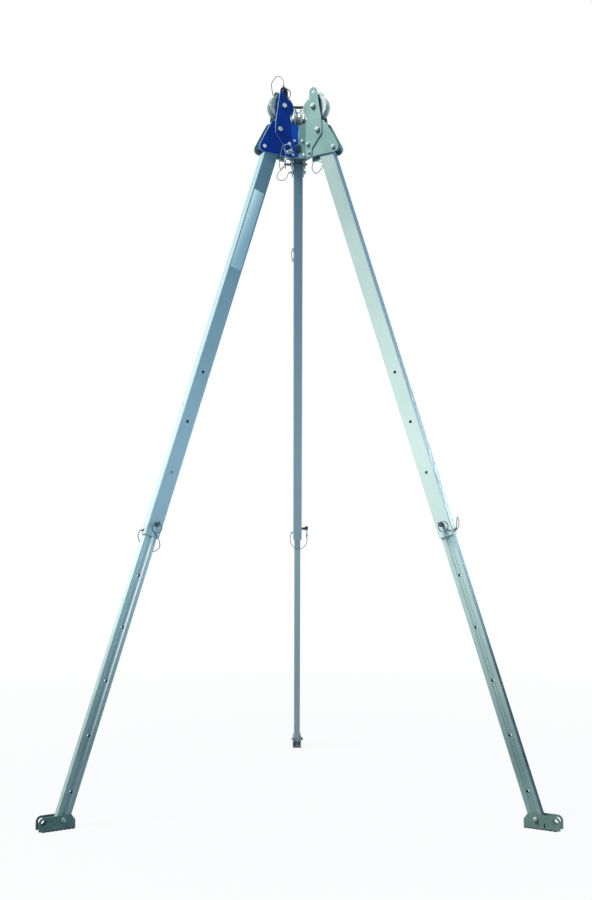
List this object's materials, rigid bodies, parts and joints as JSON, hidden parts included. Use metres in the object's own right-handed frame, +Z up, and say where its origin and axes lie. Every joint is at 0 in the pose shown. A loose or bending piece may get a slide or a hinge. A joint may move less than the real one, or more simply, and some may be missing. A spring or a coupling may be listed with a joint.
{
  "type": "rescue tripod",
  "caption": "Tripod lifting frame with telescopic pinned legs, a plate head carrying rope pulleys, pull-ring pins on wire lanyards, and swivelling channel feet.",
  "frame": {"origin": "middle of the footprint's box, on the floor under the soles", "axes": "+Z up, +Y towards the rear leg, +X to the viewer's right, viewer on the -Y side"},
  "size_m": [1.5352, 1.3294, 2.4611],
  "materials": {
    "blue_plate": "satin blue powder coat",
    "silver_plate": "satin silver coat",
    "zinc": "zinc plated",
    "bolt_steel": "bright plated",
    "dark_steel": "blackened",
    "pin_steel": "plated",
    "wire": "stranded wire rope",
    "pulley": "turned",
    "bush": "plain",
    "upper_tube": "satin anodised",
    "lower_tube": "satin anodised",
    "black_plastic": "matte",
    "foot": "dull grey-green coat",
    "sole": "matte"
  },
  "bodies": {
    "head": {"left_front_plate": "blue_plate", "left_back_plate": "silver_plate", "right_front_plate": "silver_plate", "right_back_plate": "silver_plate", "rear_left_plate": "silver_plate", "rear_right_plate": "silver_plate", "left_front_cheek": "blue_plate", "left_back_cheek": "silver_plate", "right_front_cheek": "silver_plate", "right_back_cheek": "silver_plate", "rear_left_cheek": "silver_plate", "rear_right_cheek": "silver_plate", "anchor_plates": "zinc", "anchor_screws": "bolt_steel", "hinge_bolts": "bolt_steel", "stop_bolts": "bolt_steel", "stop_spacers": "zinc", "cross_bolts": "bolt_steel", "cross_spacers": "zinc", "pulley_axles": "bolt_steel", "rear_guard_bolt": "dark_steel", "retaining_lanyard": "wire", "left_head_lanyard": "wire", "right_head_lanyard": "wire", "rear_head_lanyard": "wire"},
    "left_pulley": {"left_pulley": "pulley", "left_pulley_bush": "bush"},
    "right_pulley": {"right_pulley": "pulley", "right_pulley_bush": "bush"},
    "rear_pulley": {"rear_pulley": "pulley", "rear_pulley_bush": "bush"},
    "retaining_pin": {"retaining_pin": "dark_steel"},
    "left_head_pin": {"left_head_pin": "pin_steel"},
    "right_head_pin": {"right_head_pin": "pin_steel"},
    "rear_head_pin": {"rear_head_pin": "pin_steel"},
    "left_leg": {"left_upper_tube": "upper_tube", "left_sleeve": "black_plastic", "left_leg_lanyard": "wire"},
    "right_leg": {"right_upper_tube": "upper_tube", "right_sleeve": "black_plastic", "right_leg_lanyard": "wire"},
    "rear_leg": {"rear_upper_tube": "upper_tube", "rear_sleeve": "black_plastic", "rear_leg_lanyard": "wire", "rear_saddle": "black_plastic"},
    "left_lower_leg": {"left_lower_tube": "lower_tube", "left_foot_bolt": "bolt_steel"},
    "right_lower_leg": {"right_lower_tube": "lower_tube", "right_foot_bolt": "bolt_steel"},
    "rear_lower_leg": {"rear_lower_tube": "lower_tube", "rear_foot_bolt": "bolt_steel"},
    "left_foot": {"left_foot": "foot", "left_sole": "sole"},
    "right_foot": {"right_foot": "foot", "right_sole": "sole"},
    "rear_foot": {"rear_foot": "foot", "rear_sole": "sole"},
    "left_leg_pin": {"left_leg_pin": "pin_steel"},
    "right_leg_pin": {"right_leg_pin": "pin_steel"},
    "rear_leg_pin": {"rear_leg_pin": "pin_steel"}
  },
  "joints": [
    {"name": "left_pulley_spin", "type": "hinge", "parent": "head", "child": "left_pulley", "pos_m": [-0.06322, -0.24838, 2.34992], "axis": [0.5, -0.866, 0], "continuous": true},
    {"name": "right_pulley_spin", "type": "hinge", "parent": "head", "child": "right_pulley", "pos_m": [0.06322, -0.24838, 2.34992], "axis": [0.5, 0.866, 0], "continuous": true},
    {"name": "rear_pulley_spin", "type": "hinge", "parent": "head", "child": "rear_pulley", "pos_m": [0, -0.13888, 2.34992], "axis": [-1, 0, 0], "continuous": true},
    {"name": "retaining_pin_pull", "type": "slide", "parent": "head", "child": "retaining_pin", "axis": [0.5, -0.866, 0], "range_m": [0, 0.062], "deforming": ["retaining_lanyard"]},
    {"name": "left_head_pin_pull", "type": "slide", "parent": "head", "child": "left_head_pin", "axis": [0.5, -0.866, 0], "range_m": [0, 0.062], "deforming": ["left_head_lanyard"]},
    {"name": "right_head_pin_pull", "type": "slide", "parent": "head", "child": "right_head_pin", "axis": [0.5, 0.866, 0], "range_m": [0, 0.062], "deforming": ["right_head_lanyard"]},
    {"name": "rear_head_pin_pull", "type": "slide", "parent": "head", "child": "rear_head_pin", "axis": [-1, 0, 0], "range_m": [0, 0.062], "deforming": ["rear_head_lanyard"]},
    {"name": "left_leg_fold", "type": "hinge", "parent": "head", "child": "left_leg", "pos_m": [-0.07794, -0.25688, 2.26192], "axis": [0.5, -0.866, 0], "range_deg": [0, 17.5]},
    {"name": "right_leg_fold", "type": "hinge", "parent": "head", "child": "right_leg", "pos_m": [0.07794, -0.25688, 2.26192], "axis": [0.5, 0.866, 0], "range_deg": [0, 17.5]},
    {"name": "rear_leg_fold", "type": "hinge", "parent": "head", "child": "rear_leg", "pos_m": [0, -0.12188, 2.26192], "axis": [-1, 0, 0], "range_deg": [0, 17.5]},
    {"name": "left_leg_extend", "type": "slide", "parent": "left_leg", "child": "left_lower_leg", "axis": [0.264, 0.1524, 0.9524], "range_m": [0, 0.825]},
    {"name": "right_leg_extend", "type": "slide", "parent": "right_leg", "child": "right_lower_leg", "axis": [-0.264, 0.1524, 0.9524], "range_m": [0, 0.825]},
    {"name": "rear_leg_extend", "type": "slide", "parent": "rear_leg", "child": "rear_lower_leg", "axis": [0, -0.3049, 0.9524], "range_m": [0, 0.825]},
    {"name": "left_foot_swivel", "type": "hinge", "parent": "left_lower_leg", "child": "left_foot", "pos_m": [-0.69681, -0.61418, 0.0295], "axis": [0.5, -0.866, 0], "range_deg": [-20, 20]},
    {"name": "right_foot_swivel", "type": "hinge", "parent": "right_lower_leg", "child": "right_foot", "pos_m": [0.69681, -0.61418, 0.0295], "axis": [0.5, 0.866, 0], "range_deg": [-20, 20]},
    {"name": "rear_foot_swivel", "type": "hinge", "parent": "rear_lower_leg", "child": "rear_foot", "pos_m": [0, 0.59273, 0.0295], "axis": [-1, 0, 0], "range_deg": [-20, 20]},
    {"name": "left_leg_pin_push", "type": "slide", "parent": "left_leg", "child": "left_leg_pin", "axis": [0.5, -0.866, 0], "range_m": [-0.011, 0.012], "deforming": ["left_leg_lanyard"]},
    {"name": "right_leg_pin_push", "type": "slide", "parent": "right_leg", "child": "right_leg_pin", "axis": [-0.5, -0.866, 0], "range_m": [-0.011, 0.012], "deforming": ["right_leg_lanyard"]},
    {"name": "rear_leg_pin_push", "type": "slide", "parent": "rear_leg", "child": "rear_leg_pin", "axis": [1, 0, 0], "range_m": [-0.011, 0.012], "deforming": ["rear_leg_lanyard"]}
  ]
}
